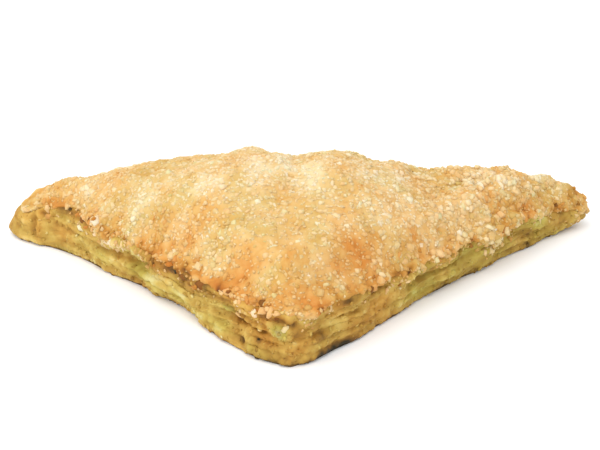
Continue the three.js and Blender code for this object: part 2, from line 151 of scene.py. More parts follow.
# Places of the cut edges that stand out, are browned or stayed pale, with half sizes along X and
# up.
# The pits and the recesses under the lip, where out is below nought, are darkened as painted shade,
# and the two marks at the foot are browning with painted contact shade.
EDGE_MARKS = [
    dict(side=LEFT, x=-83.3, z=6.5, half=1.8, high=2.2, out=1.4, bake=0.16, hue=1.5),
    dict(side=LEFT, x=-86, z=5, half=0.8, high=3.5, bake=-0.25, hue=0.6),
    dict(side=LEFT, x=-79.2, z=5, half=0.9, high=4.5, out=0.8, bake=0.1, hue=1),
    dict(side=LEFT, x=-81, z=7, half=0.8, high=3, out=-1, bake=-0.6),
    dict(side=LEFT, x=-83, z=1.7, half=5, high=0.8, out=0.8, bake=0.6, hue=0.5),
    dict(side=LEFT, x=-77.8, z=10, half=1.1, high=1.1, out=-0.9, bake=-0.7),
    dict(side=LEFT, x=-70, z=13.3, half=6.5, high=1.2, out=-0.4, bake=-0.55, hue=0.5),
    dict(side=LEFT, x=-68, z=7, half=8, high=4, bake=-0.08, hue=0.6),
    dict(side=LEFT, x=-45, z=5.5, half=12, high=2, out=0.3, bake=0.38, hue=-0.3),
    dict(side=LEFT, x=-57, z=4.3, half=6, high=1.8, bake=0.3, hue=-0.3),
    dict(side=LEFT, x=-43, z=12.6, half=7, high=2, bake=-0.25, hue=0.3),
    dict(side=LEFT, x=-30, z=13.8, half=8, high=1.2, bake=-0.5, hue=0.2),
    dict(side=LEFT, x=-40, z=3.5, half=8, high=2.5, bake=0.1, hue=-0.6),
    dict(side=LEFT, x=-36, z=8, half=8, high=1.6, out=0.8, bake=0.14),
    dict(side=LEFT, x=-17, z=8, half=6, high=5, hue=0.6),
    dict(side=LEFT, x=-14, z=7, half=8, high=2.6, out=0.5, bake=-0.12),
    dict(side=RIGHT, x=-4, z=7, half=8, high=2.6, out=0.5, bake=-0.12),
    dict(side=RIGHT, x=5, z=8, half=9, high=4, hue=0.5),
    dict(side=LEFT, x=-10, z=0.6, half=4, high=1.5, bake=-0.5),
    dict(side=RIGHT, x=5, z=0.8, half=9, high=1.8, bake=-0.8),
    dict(side=RIGHT, x=9, z=13, half=6, high=1.8, bake=-0.42, hue=-0.1),
    dict(side=RIGHT, x=23, z=12.6, half=5, high=1.2, bake=-0.35),
    dict(side=RIGHT, x=31, z=6, half=8, high=3, bake=0.22, hue=-0.3),
    dict(side=LEFT, x=-9, z=13, half=4, high=1.6, bake=-0.25, hue=0.3),
    dict(side=LEFT, x=-50, z=12.5, half=5, high=1, bake=-0.2),
    dict(side=LEFT, x=-58.9, z=13.6, half=1.3, high=0.9, out=-0.9, bake=-0.6),
    dict(side=LEFT, x=-56, z=11, half=1.8, high=1.3, out=0.9, bake=0.35, hue=0.8),
    dict(side=LEFT, x=-52.4, z=8.4, half=5.5, high=0.9, out=-0.2, bake=-0.1, hue=-0.3),
    dict(side=LEFT, x=-39.3, z=12.2, half=1.4, high=0.8, out=-0.4, bake=-0.2, hue=0.5),
    dict(side=LEFT, x=-35.7, z=11.8, half=1.4, high=0.8, out=-0.4, bake=-0.2, hue=0.5),
    dict(side=LEFT, x=-29.4, z=11.2, half=3, high=1.4, bake=-0.3, hue=0.6),
    dict(side=LEFT, x=-25.6, z=13.5, half=2, high=1, out=0.4, bake=0.1, hue=0.9),
    dict(side=LEFT, x=-19.8, z=14.6, half=1, high=1, out=-0.4, bake=-0.3, hue=0.5),
    dict(side=LEFT, x=-15.4, z=14.2, half=0.8, high=1.8, out=-0.5, bake=-0.3, hue=0.4),
    dict(side=LEFT, x=-27.8, z=3, half=4, high=2, bake=0.1, hue=-0.7),
    dict(side=LEFT, x=-22.3, z=6.9, half=4, high=1.8, bake=-0.15, hue=0.7),
    dict(side=LEFT, x=-20.6, z=3.5, half=0.7, high=0.8, out=-1.4, bake=-0.8),
    dict(side=LEFT, x=-18.5, z=2.5, half=1.2, high=1, out=0.3, bake=0.2, hue=-0.5),
    dict(side=LEFT, x=-12.7, z=14.4, half=1.3, high=0.9, out=0.5, bake=0.15, hue=0.8),
    dict(side=LEFT, x=-12.7, z=12.9, half=3.5, high=0.7, out=-0.5, bake=-0.4, hue=0.5),
    dict(side=LEFT, x=-10.8, z=9.6, half=2.2, high=1.9, out=0.6, bake=0.22, hue=-2.6),
    dict(side=LEFT, x=-23.5, z=9.3, half=1.8, high=1.5, bake=0.1, hue=-2),
    dict(side=LEFT, x=-14.6, z=9.6, half=0.9, high=2.8, out=-0.4, bake=-0.35, hue=0.6),
    dict(side=LEFT, x=-14, z=6, half=4, high=1.8, bake=-0.1, hue=0.7),
    dict(side=RIGHT, x=-7, z=11, half=1.1, high=3, out=-0.5, bake=-0.35, hue=0.6),
    dict(side=RIGHT, x=-7.7, z=4.2, half=3.5, high=2.4, bake=-0.12, hue=0.8),
    dict(side=RIGHT, x=-2, z=7, half=2.5, high=1.8, out=0.5, bake=0.06, hue=0.4),
    dict(side=RIGHT, x=0.2, z=13.6, half=2.8, high=1.6, bake=-0.12, hue=0.4),
    dict(side=RIGHT, x=3.9, z=7, half=3.5, high=1.9, out=0.4, bake=0.3, hue=-0.3),
    dict(side=RIGHT, x=7.3, z=12.6, half=1.5, high=1.3, out=-0.6, bake=-0.4),
    dict(side=RIGHT, x=16.4, z=11.4, half=3, high=0.9, out=-0.6, bake=-0.4, hue=0.4),
    dict(side=RIGHT, x=18.1, z=7.6, half=4, high=1.5, out=0.3, bake=0.1, hue=0.9),
    dict(side=RIGHT, x=13, z=5, half=4, high=1.6, bake=-0.25, hue=0.5),
    dict(side=RIGHT, x=25.4, z=3.8, half=4.5, high=1.7, bake=0.1, hue=-0.4),
    dict(side=RIGHT, x=25.2, z=12, half=0.8, high=1, out=-0.9, bake=-0.6),
    dict(side=RIGHT, x=35.4, z=5.7, half=2.2, high=1.3, bake=-0.25, hue=0.4),
    dict(side=RIGHT, x=43.2, z=8.8, half=5, high=1.8, bake=0.1, hue=-0.5),
    dict(side=RIGHT, x=44.7, z=11.5, half=1, high=0.9, out=-0.8, bake=-0.5),
    dict(side=RIGHT, x=60.4, z=4.2, half=3, high=1.6, bake=-0.05, hue=0.7),
    dict(side=RIGHT, x=63.1, z=5.5, half=1.1, high=1, out=-0.3, bake=-0.35, hue=0.2),
    dict(side=RIGHT, x=67, z=8, half=2.8, high=1.6, out=0.6, bake=0.4, hue=-0.5),
    dict(side=RIGHT, x=72, z=9, half=2.6, high=1, out=-0.4, bake=-0.3, hue=-0.3),
    dict(side=RIGHT, x=75, z=7, half=1.6, high=1.5, out=-0.4, bake=-0.3, hue=-0.3),
]


def bell(t):
    """One at nought, falling to nothing on both sides: e to the minus square."""
    return np.exp(-t * t)


def smooth(t):
    """Nought to one along an S, held outside that range."""
    t = np.clip(t, 0, 1)
    return t * t * (3 - 2 * t)


def lerp(a, b, share):
    """From a to b by a share."""
    return a + (b - a) * share


CHANCES = np.random.default_rng(11).uniform(-1, 1, 65536)


def chance(seed, *cells):
    """A random value from -1 to 1 for whole-number places, always the same one: a seeded table,
    read at a number that is mixed from them."""
    mixed = seed * 7919
    for cell, factor in zip(cells, (73856093, 19349663, 83492791)):
        mixed = mixed ^ (cell * factor)
    return CHANCES[mixed % len(CHANCES)]


def lumps(points, pitch, seed):
    """Smooth random values from -1 to 1 along a line, over a plane or in space: random values at
    the places of a lattice a pitch apart, eased between its corners."""
    at = points / pitch
    cell = np.floor(at).astype(int)
    ease = smooth(at - cell)
    total = 0
    for corner in np.ndindex(*(2,) * points.shape[-1]):
        share = np.prod(np.where(np.array(corner) == 1, ease, 1 - ease), -1)
        total = total + share * chance(seed, *np.moveaxis(cell + corner, -1, 0))
    return total


def uneven(value, points, layers):
    """A value made uneven at points: each layer's lumps are added to it, by that layer's share."""
    for layer in layers:
        value = value + layer["share"] * lumps(points, layer["pitch"], layer["seed"])
    return value


def edge_between(start, end):
    """An edge of the plan, as a point on it and its inward normal."""
    way = (end - start) / np.linalg.norm(end - start)
    return start, np.array([-way[1], way[0]])


LEFT_EDGE = edge_between(LEFT_CORNER, FRONT_CORNER)
RIGHT_EDGE = edge_between(FRONT_CORNER, RIGHT_CORNER)
FOLD_EDGE = edge_between(RIGHT_CORNER, LEFT_CORNER)


def inside(edge, x, y):
    """Distance of plan points inside an edge, along its inward normal."""
    on, inward = edge
    return (x - on[0]) * inward[0] + (y - on[1]) * inward[1]


def from_cut_edges(x, y):
    """Distance of plan points inside the nearer cut edge."""
    return np.minimum(inside(LEFT_EDGE, x, y), inside(RIGHT_EDGE, x, y))


def turned_from(angle, tip):
    """Degrees between directions from the centre and a tip."""
    return (np.degrees(angle) - tip["at"] + 180) % 360 - 180


def outline_point(angle, inset):
    """Plan points of the outline in the direction of an angle from the centre, with the three edges
    moved in by an inset: a soft minimum of the distances to the edges, which rounds the corners,
    drawn out at the tips."""
    c, s = np.cos(angle), np.sin(angle)
    total = 0
    for edge in (LEFT_EDGE, RIGHT_EDGE, FOLD_EDGE):
        towards = np.maximum(-(c * edge[1][0] + s * edge[1][1]), 0)
        total = total + (towards / (inside(edge, *CENTRE) - inset)) ** CORNER_SHARPNESS
    reach = total ** (-1 / CORNER_SHARPNESS)
    for tip in TIPS:
        reach = reach + tip["out"] * bell(turned_from(angle, tip) / tip["half"])
    return CENTRE[0] + reach * c, CENTRE[1] + reach * s


BACK = np.pi / 2  # direction of the middle of the fold, where lengths along the outline start
FINE_ANGLES = np.linspace(BACK, BACK + 2 * np.pi, 4001)
FINE_STEPS = np.hypot(*np.diff(outline_point(FINE_ANGLES, 0)))
FINE_LENGTHS = np.concatenate([[0], np.cumsum(FINE_STEPS)])
OUTLINE_LENGTH = FINE_LENGTHS[-1]


def angle_at(along):
    """Angle from the centre of a point of the outline, from its distance along the outline."""
    return np.interp(along % OUTLINE_LENGTH, FINE_LENGTHS, FINE_ANGLES)


def lip_height(x):
    """Height of the crust's lip over the cut edges: its level, two slow waves and a few rises."""
    height = LIP
    for wave in LIP_WAVES:
        height = height + wave["high"] * np.sin(x / wave["length"] + wave["phase"])
    for stretch in LIP_RISES:
        height = height + stretch["rise"] * bell((x - stretch["x"]) / stretch["half"])
    return height


def crust_height(x, y):
    """Height of the upper crust over plan points: the lip, a rise to the plate, the humps and
    dents, and a slow crinkle, rolled down by a quarter ellipse towards the closed fold."""
    from_fold = inside(FOLD_EDGE, x, y)
    from_left = inside(LEFT_EDGE, x, y)
    from_right = inside(RIGHT_EDGE, x, y)
    from_cut = (from_left + from_right - np.hypot(from_left - from_right, RIDGE_ROUNDING)) / 2
    lip = lerp(lip_height(x), LIP, smooth(from_cut / PLATE_FROM_LIP))
    clear = smooth(from_cut / HUMPS_FROM_LIP) * smooth(from_fold / HUMPS_FROM_FOLD + 0.2)
    rise = PLATE * smooth(from_cut / PLATE_FROM_LIP + 0.05)
    for hump in HUMPS:
        q = ((x - hump["x"]) / hump["rx"]) ** 2 + ((y - hump["y"]) / hump["ry"]) ** 2
        rise = rise + hump["rise"] * np.exp(-q**1.5) * clear
    for dent in DENTS:
        swelling = dent["rise"] * bell((x - dent["x"]) / dent["rx"])
        rise = rise + swelling * bell((y - dent["y"]) / dent["ry"])
    crinkle = 0.45 * np.sin(x / 4.1 + 1.3 * np.sin(y / 6.3)) * np.sin(y / 3.7 + 0.8)
    crinkle = crinkle + 0.3 * np.sin(x / 2.3 - y / 2.9)
    rise = rise + crinkle * smooth(from_cut / 6) * smooth(from_fold / 8)
    t = np.clip(from_fold / FOLD_RADIUS, 0, 1)
    return FOLD_WIDEST + np.sqrt(1 - (1 - t) ** 2) * (lip - FOLD_WIDEST + rise)


def share_of(side, x):
    """How far places along X belong to the left or the right cut edge, from nought to one, blended
    at the corner."""
    return smooth(side * (x - FRONT_CORNER[0]) / CORNER_BLEND + 0.5)


def cut_inset(x, z, lip):
    """How far a cut edge stands in at a height: a lean, the tuck of the underside's rim, the
    groove, the overhanging lip, slow layers and waves, and the crags."""
    side = lerp(LEFT, RIGHT, share_of(RIGHT, x))
    corner = bell((x - FRONT_CORNER[0]) / CORNER_MERGE["half"])
    strength = (0.7 + 0.4 * np.sin(x / 6.1 + 2 * side)) * (1 - CORNER_MERGE["groove"] * corner)
    overhang = OVERHANG["out"] * (1 - CORNER_MERGE["overhang"] * corner)
    wave = z + 0.6 * np.sin(x / 9)
    layers = np.sin(2 * np.pi * wave / LAYER["pitch"]) * np.sin(np.pi * z / lip)
    inset = LEAN * z / lip + TUCK["depth"] * bell(z / TUCK["half"])
    inset = inset + CORNER_ROUNDING["depth"] * bell((x - FRONT_CORNER[0]) / CORNER_ROUNDING["half"])
    groove = bell((z - GROOVE["height"] - 0.5 * np.sin(x / 8)) / GROOVE["half"])
    inset = inset + GROOVE["depth"] * strength * groove
    inset = inset - overhang * bell((z - lip + OVERHANG["below"]) / OVERHANG["half"])
    inset = inset + LAYER["depth"] * (1 + 0.6 * np.sin(x / 4.3)) * layers
    inset = inset + 0.3 * np.sin(x / 5.3 + 2 * side) + 0.25 * np.sin(x / 2.2)
    for crag in CRAGS:
        half = np.where(x > crag["x"], crag.get("after", crag["half"]), crag["half"])
        shape = bell((x - crag["x"]) / half) * bell((z - crag["z"]) / crag["high"])
        inset = inset + crag["depth"] * shape * share_of(crag["side"], x)
    return inset


def tip_inset(share, tip):
    """How far a tip's rounded wall stands in: a superellipse on either side of its widest place."""
    above = share > tip["widest"]
    t = np.where(above, (share - tip["widest"]) / (1 - tip["widest"]), 1 - share / tip["widest"])
    drawn = 1 - (1 - t**TIP_ROUNDNESS) ** (1 / TIP_ROUNDNESS)
    return np.where(above, tip["top"], tip["foot"]) * drawn


def at_tip(angle, tip):
    """How far directions from the centre belong to a tip, from nought to one."""
    return bell(turned_from(angle, tip) / (TIP_REACH * tip["half"]))


def at_cut(angle):
    """How far the wall in a direction is a cut edge, one, or the closed fold, nought."""
    return smooth((inside(FOLD_EDGE, *outline_point(angle, 0)) - 1) / 8)


def wall_form(angle, share, proud=0):
    """Points of the plain wall at angles from the centre and shares of its height, standing proud
    by a distance: the outline drawn in by the cut edge's inset, the closed fold's roll and the
    tips' rounding, up to the crust."""
    rim_x, _ = outline_point(angle, 0)
    lip = lip_height(rim_x)

    def inset(share):
        cut = cut_inset(rim_x, share * lip, lip)
        drawn = lerp(FOLD_TUCK * (1 - np.sin(np.pi / 2 * share)), cut, at_cut(angle))
        for tip in TIPS:
            drawn = lerp(drawn, tip_inset(share, tip), at_tip(angle, tip))
        return drawn

    height = share * crust_height(*outline_point(angle, inset(1.0)))
    x, y = outline_point(angle, inset(share) - proud)
    return np.stack(np.broadcast_arrays(x, y, height), -1)


def marked(points, key):
    """The sum of a key's bells round the marks of the cut edges, for points near those edges."""
    x, y, z = np.moveaxis(points, -1, 0)
    near = bell(from_cut_edges(x, y) / MARK_REACH)
    total = 0 * x
    for mark in EDGE_MARKS:
        if key in mark:
            shape = bell((x - mark["x"]) / mark["half"]) * bell((z - mark["z"]) / mark["high"])
            total = total + mark[key] * shape * share_of(mark["side"], x)
    return total * near


def leaf_relief(along, z):
    """The thin leaves of a cut edge, as how far each stands out and its own tone from -1 to 1: the
    height is cut into leaves a pitch apart that wave along the edge, and each has a ragged run of
    its own and is undercut below."""
    line = along[..., None]
    level = z / LEAF_PITCH + 1.3 * lumps(line, 15, 3) + 0.5 * lumps(line, 5, 4)
    leaf = np.floor(level)
    own = 0.75 * lumps(np.stack([along / 6, leaf], -1), 1, 5)
    own = own + 0.25 * lumps(np.stack([along / 2, leaf], -1), 1, 6)
    band = np.stack([along / 9, 0.8 * level], -1)
    tone = 0.75 * lumps(band, 1, 7) + 0.35 * lumps(band * (4, 1.6), 1, 8)
    return 0.1 - 0.3 * own - 0.24 * (1 - level + leaf) ** 2, tone


def pebbles(points, pitch, seed):
    """Rounded grains in space, round a random place in each cell of a lattice a pitch apart, as
    their height, one in the middle of a grain and nought between grains, and each grain's own
    random value."""
    at = points / pitch
    cell = np.floor(at).astype(int)
    nearest = np.full(at.shape[:-1], 9.0)
    own = np.zeros(at.shape[:-1])
    for step in np.ndindex(3, 3, 3):
        cells = np.moveaxis(cell + step - np.ones(3, int), -1, 0)
        middle = [cells[axis] + 0.5 + 0.42 * chance(seed + axis, *cells) for axis in range(3)]
        distance = np.sum((at - np.stack(middle, -1)) ** 2, -1)
        own = np.where(distance < nearest, chance(seed + 3, *cells), own)
        nearest = np.minimum(nearest, distance)
    return np.clip(1 - nearest / 0.6, 0, 1), own


# How far the skin hangs below the lip, and how much more over the back of the fold and on the tips,
# its rags, and the stretches of the cut edges where it hangs lower, or less low
SKIN_HANG = dict(edge=2, fold=3, left_tip=1.5, right_tip=5.5, least=0.7)
SKIN_RAGS = [dict(share=1.4, pitch=5, seed=61), dict(share=1.4, pitch=2.2, seed=62)]
SKIN_HANGS = [
    dict(x=-70, half=6, more=-1),
    dict(x=-57, half=2.5, more=1),
    dict(x=-46, half=9, more=-1.9),
    dict(x=-27, half=8, more=-1.2),
    dict(x=-15, half=6, more=-1.5),
    dict(x=-3, half=4, more=0.3),
    dict(x=9.5, half=5, more=-2.2),
    dict(x=17.5, half=2, more=1.2),
    dict(x=37, half=8, more=-2.6),
    dict(x=55, half=5, more=1.2),
]


def skin_edge(angle):
    """Share of the wall's height down to which the sugared skin hangs over it: ragged along the cut
    edges, more over the fold's back and on the left tip, and most on the right tip."""
    lip_points = wall_form(angle, 1.0)
    x = lip_points[..., 0]
    hang = uneven(SKIN_HANG["edge"], lip_points, SKIN_RAGS)
    hang = hang + SKIN_HANG["fold"] * (1 - at_cut(angle))
    hang = hang + SKIN_HANG["left_tip"] * at_tip(angle, LEFT_TIP)
    hang = hang + SKIN_HANG["right_tip"] * at_tip(angle, RIGHT_TIP)
    for stretch in SKIN_HANGS:
        hang = hang + stretch["more"] * bell((x - stretch["x"]) / stretch["half"])
    return 1 - np.maximum(hang, SKIN_HANG["least"]) / lip_points[..., 2]


def leaf_wall(angle, share):
    """The wall at angles and shares of its height, as points, rises and values: its form with the
    thin leaves, drawn in under the skin, with pebbles, lumps and marks as rises, and its bake with
    painted shade in its hollows, on the right and at the foot, hue and shares of crumbs and sugar."""
    along = np.interp(angle, FINE_ANGLES, FINE_LENGTHS) + 0 * share
    plain = wall_form(angle, share)
    x, _, z = np.moveaxis(plain, -1, 0)
    cut = at_cut(angle) + 0 * share
    leaves, tone = leaf_relief(along, z)
    corner = bell((x - FRONT_CORNER[0]) / CALM["half"])
    calm = 1 - CALM["corner"] * corner - CALM["right"] * share_of(RIGHT, x) * (1 - corner)
    strength = cut * calm * np.clip(0.45 + 0.7 * lumps(along[..., None], 14, 9), 0.1, 0.9)
    clear = smooth(share / 0.05)
    under_skin = smooth((share - skin_edge(angle)) / 0.15)
    points = wall_form(angle, share, leaves * strength * clear - DRAWN_IN * under_skin)

    grain, own = pebbles(plain, WALL_PEBBLE, 24)
    rough = cut * (0.45 + 0.6 * lumps(plain, 9, 18) + 0.3 * corner)
    rough = np.clip(rough + 0.6 * at_tip(angle, RIGHT_TIP), 0.15, 1.2)
    rise = uneven(0, plain, WALL_LUMPS) + marked(plain, "out")
    rise = rise + cut * (0.35 + 0.5 * corner) * lumps(plain, (8, 8, 4), 23)
    rise = rise + 0.7 * rough * (grain - 0.4)

    lip = lip_height(x)
    hollow = cut_inset(x, share * lip, lip) - LEAN * share - leaves * strength
    bake = uneven(PLAIN_BAKE + 0.2 * cut * tone, plain, WALL_TONES)
    bake = bake + rough * (0.16 * (grain - 0.5) + 0.08 * own)
    bake = bake + MARK_STRENGTH * marked(plain, "bake")
    # The deep places of the groove and the crags are darker as painted shade, the closed fold is a
    # little browner, and the right cut edge is a little darker as painted shade for the light from
    # the left.
    bake = bake - 0.12 * cut * smooth(hollow / 2) - 0.1 * (1 - cut)
    bake = bake - 0.03 * share_of(RIGHT, x)
    # The foot is the lowest millimetre, darkened below as browning and as painted contact shade.
    foot = smooth((1 - z) / 0.8)

    below_skin = (skin_edge(angle) - share) * wall_form(angle, 1.0)[..., 2]
    hue = 0.8 * lumps(plain, 6, 17) + 0.4 * bell(below_skin / 3)
    hue = hue - 0.7 * smooth((x - 15) / 20) - 0.15
    clean = np.clip(1 - 2 * np.abs(marked(plain, "bake")), 0, 1)
    below_lip = cut * 0.8 * bell(below_skin / 2.2)
    values = {
        "bake": lerp(bake, TRAY_BROWNING_AND_SHADE, 0.8 * foot),
        "hue": np.maximum(hue, -0.7) + marked(plain, "hue"),
        "crumbs": cut * (0.35 + 0.4 * rough) * clean,
        "sugar": below_lip * smooth(0.6 + lumps(plain, 5, 19)) * clean,
    }
    return points, rise * clear * (1 - 0.5 * under_skin), values


def rings_to_centre(ring, shares, height):
    """Rings that shrink from one towards the centre by shares, at the heights of a function."""
    x = lerp(CENTRE[0], ring[:, 0], np.reshape(shares, (-1, 1)))
    y = lerp(CENTRE[1], ring[:, 1], np.reshape(shares, (-1, 1)))
    return np.stack([x, y, height(x, y)], -1)


def ring_faces(counts):
    """Faces of a closed surface between two poles, which are the first and last point, with rings
    of points between that run anticlockwise. A ring has as many points as the one before, or half
    as many."""
    k = np.arange(counts[0])
    faces = [np.stack([0 * k, 1 + (k + 1) % counts[0], 1 + k], -1)]
    start = 1
    for count, above in zip(counts, counts[1:]):
        k = np.arange(above)
        c = start + count + k
        d = start + count + (k + 1) % above
        if above == count:
            faces.append(np.stack([start + k, start + (k + 1) % count, d, c], -1))
        else:
            a = start + 2 * k
            b = start + (2 * k + 2) % count
            for corners in ([a, a + 1, c], [a + 1, d, c], [a + 1, b, d]):
                faces.append(np.stack(corners, -1))
        start += count
    k = np.arange(counts[-1])
    last = start + counts[-1]
    faces.append(np.stack([start + k, start + (k + 1) % counts[-1], 0 * k + last], -1))
    return faces


def spread(given, block):
    """A value for each point of a block, from one for all or one for each."""
    return np.broadcast_to(given, block.shape[:-1]).ravel()


def surface(parts):
    """Points, faces, rises and values of a closed surface, from its poles and blocks of rings."""
    points = np.concatenate([block.reshape(-1, 3) for block, _, _ in parts])
    rise = np.concatenate([spread(given, block) for block, given, _ in parts])
    counts = [len(ring) for block, _, _ in parts if block.ndim == 3 for ring in block]
    keys = sorted({key for _, _, values in parts for key in values})
    values = {
        key: np.concatenate([spread(given.get(key, 0), block) for block, _, given in parts])
        for key in keys
    }
    return points, ring_faces(counts), rise, values


def place(name, points, faces, rise, values, material):
    """A new piece of the turnover from its points and arrays of faces, with each point moved along
    its normal by its own rise, and with values for each point."""
    mesh = bpy.data.meshes.new(name)
    mesh.vertices.add(len(points))
    mesh.vertices.foreach_set("co", ((points - ORIGIN) * MM).ravel())
    corners = np.concatenate([group.ravel() for group in faces])
    sizes = np.concatenate([np.full(len(group), group.shape[1]) for group in faces])
    mesh.loops.add(len(corners))
    mesh.loops.foreach_set("vertex_index", corners)
    mesh.polygons.add(len(sizes))
    mesh.polygons.foreach_set("loop_start", np.cumsum(sizes) - sizes)
    mesh.update(calc_edges=True)
    normals = np.empty(points.size)
    mesh.vertices.foreach_get("normal", normals)
    risen = points + normals.reshape(-1, 3) * np.reshape(rise, (-1, 1))
    risen[:, 2] = np.maximum(risen[:, 2], 0)  # nothing sinks into the table
    mesh.vertices.foreach_set("co", ((risen - ORIGIN) * MM).ravel())
    mesh.update()
    mesh.shade_smooth()
    for key, value in values.items():
        attribute = mesh.attributes.new(key, "FLOAT", "POINT")
        attribute.data.foreach_set("value", value.astype(np.float32).ravel())
    mesh.materials.append(material)
    piece = bpy.data.objects.new(name, mesh)
    bpy.context.scene.collection.objects.link(piece)
    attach(piece, "root")
    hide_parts("turnover")
    return piece


def colour(code):
    """Linear colour of an sRGB hex code."""
    value = np.array([int(code[i : i + 2], 16) for i in (1, 3, 5)]) / 255
    linear = np.where(value <= 0.04045, value / 12.92, ((value + 0.055) / 1.055) ** 2.4)
    return (*linear, 1)


def add(tree, kind, sockets, **settings):
    """A node of a kind, with its settings, and its sockets set to values or linked from other
    nodes' sockets."""
    node = tree.nodes.new(kind)
    for key, value in settings.items():
        setattr(node, key, value)
    for key, value in sockets.items():
        if isinstance(value, bpy.types.NodeSocket):
            tree.links.new(value, node.inputs[key])
        else:
            node.inputs[key].default_value = value
    return node


TINTS = ["#cfd2e6", "#e3f1d4", "#ffffff", "#ffead6"]  # grey, olive, none and peach
TINT_HUES = (-2.0, 1.0)  # hue of the first and the last of them


def baked(name, palette, roughness, gloss, glow, crumb, grain):
    """A baked material. Its colour runs along a palette, from burnt to pale, by the piece's own
    bake value, which is its browning with painted shade and light in places, broken by
    noise the size of its crumb, and takes a tint by its hue value. It lets some light through, as
    baked dough and sugar do, and has a grain as bump. The real grain is too fine to show, so it is
    drawn at half a millimetre."""
    material = bpy.data.materials.new(name)
    material.use_nodes = True
    tree = material.node_tree
    tree.nodes.clear()
    where = add(tree, "ShaderNodeTexCoord", {}).outputs["Object"]
    bake = add(tree, "ShaderNodeAttribute", {}, attribute_name="bake").outputs["Fac"]
    hue = add(tree, "ShaderNodeAttribute", {}, attribute_name="hue").outputs["Fac"]
    sized = {"Vector": where, "Scale": 1 / (crumb * MM), "Detail": 3.0}
    noise = add(tree, "ShaderNodeTexNoise", sized)
    about = add(tree, "ShaderNodeMath", {0: noise.outputs["Fac"], 1: 0.5}, operation="SUBTRACT")
    broken = {0: about.outputs[0], 1: 0.3, 2: bake}
    shade = add(tree, "ShaderNodeMath", broken, operation="MULTIPLY_ADD")
    hues = {"Value": hue, "From Min": TINT_HUES[0], "From Max": TINT_HUES[1]}
    lean = add(tree, "ShaderNodeMapRange", hues)
    ramp = add(tree, "ShaderNodeValToRGB", {"Fac": shade.outputs[0]})
    tint = add(tree, "ShaderNodeValToRGB", {"Fac": lean.outputs[0]})
    for colours, codes in ((ramp, palette), (tint, TINTS)):
        stops = colours.color_ramp.elements
        last = len(codes) - 1
        for number in range(1, last):
            stops.new(number / last)
        for stop, code in zip(stops, codes):
            stop.color = colour(code)
    tinted = add(
        tree,
        "ShaderNodeMix",
        {"Factor": 1.0, 6: ramp.outputs["Color"], 7: tint.outputs["Color"]},  # colours A and B
        data_type="RGBA",
        blend_type="MULTIPLY",
    )
    sized = {"Vector": where, "Scale": 1 / (grain * MM), "Detail": 3.0}
    rough = add(tree, "ShaderNodeTexNoise", sized)
    raised = {"Height": rough.outputs["Fac"], "Strength": 0.4, "Distance": 0.2 * MM}
    bump = add(tree, "ShaderNodeBump", raised)
    shader = add(
        tree,
        "ShaderNodeBsdfPrincipled",
        {
            "Base Color": tinted.outputs[2],
            "Roughness": roughness,
            "IOR": 1.45,
            "Specular IOR Level": gloss,
            "Subsurface Weight": glow,
            "Subsurface Radius": (1.0, 0.8, 0.6),
            "Subsurface Scale": 1.2 * MM,
            "Normal": bump.outputs[0],
        },
    )
    add(tree, "ShaderNodeOutputMaterial", {"Surface": shader.outputs[0]})
    return material


# Baked puff pastry at its cut edges: wheat dough laminated with butter and baked matt. It runs from
# the burnt line that met the tray over browned and buttery yellow leaves to cream where it is soft.
laminated = baked(
    "baked_laminated_dough",
    ["#2c260f", "#75541e", "#a57d31", "#b89545", "#caae5c", "#dac98e"],
    roughness=0.65,
    gloss=0.3,
    glow=0.25,
    crumb=1.6,
    grain=0.6,
)


def pole(x, y, z):
    """A single point where a surface closes."""
    return np.array([[x, y, z]], float)


def on_table(x, y):
    """Height nought for plan points."""
    return 0 * x


def under_crust(x, y):
    """Height of the leaves' top over plan points: the crust's, less the skin that hides it."""
    return crust_height(x, y) - UNDER_SKIN


station_angles = angle_at(np.arange(STATIONS) / STATIONS * OUTLINE_LENGTH)
wall = leaf_wall(station_angles, np.linspace(0, 1, WALL_ROWS)[:, None])
foot_ring, around = wall[0][0], wall[0][-1]
underside = rings_to_centre(foot_ring, UNDERSIDE_RINGS, on_table)
parts = [
    (pole(*CENTRE, 0), 0, {"bake": UNDERSIDE_BAKE}),
    (underside, 0, {"bake": uneven(UNDERSIDE_BAKE, underside, UNDERSIDE_TONES)}),
    wall,
]
for shares in TOP_RINGS:
    parts.append((rings_to_centre(around, shares, under_crust), 0, {}))
    around = around[::2]
parts.append((pole(*CENTRE, under_crust(*CENTRE)), 0, {}))
leaves = place("leaves", *surface(parts), laminated)


# Sugared skin. The top was brushed with egg and strewn with sugar, which baked together to a thin
# pebbled skin. It hangs ragged over the lip of the cut edges, goes down the back of the fold, and
# wraps the right tip.

SKIN = -0.25  # the skin's level between its pebbles, from the crust's
PROUD = 0.5  # the skin is thickest along the lip
RIM = 3.8  # width of the band along the cut edges where sugar and egg wash clotted
SKIN_PEBBLE = 2.6
SKIN_CLUMP = 3.6
SKIN_LUMPS = [dict(share=0.4, pitch=4.2, seed=56)]
SKIN_TONES = [dict(share=0.17, pitch=8, seed=58), dict(share=0.1, pitch=3.4, seed=59)]
SKIN_EDGE = dict(high=1.8, thin=1.3)  # the skin thins out to its ragged edge
SKIN_FLOOR = 8  # height of the plain face that closes the skin inside
BARE = dict(x=-12, y=-27, rx=13, ry=7)  # patch of the front slope where the sugar lay thin
BROWN_FOLD = 3  # width of the browned band along the closed fold
COARSE = dict(x=12, over=40)  # from here to the right the crust turns knobbly
SKIN_ROWS = [0, 0.06, 0.12, 0.18, 0.24, 0.3, 0.37, 0.45, 0.54, 0.64, 0.75, 0.87, 1]
FLOOR_RINGS = [0.5, 0.9]
SKIN_RINGS = [  # shares of the way out, as in the leaves
    np.arange(0.992, 0.6, -0.0085),
    np.arange(0.592, 0.29, -0.011),
    np.arange(0.28, 0.02, -0.016),
]
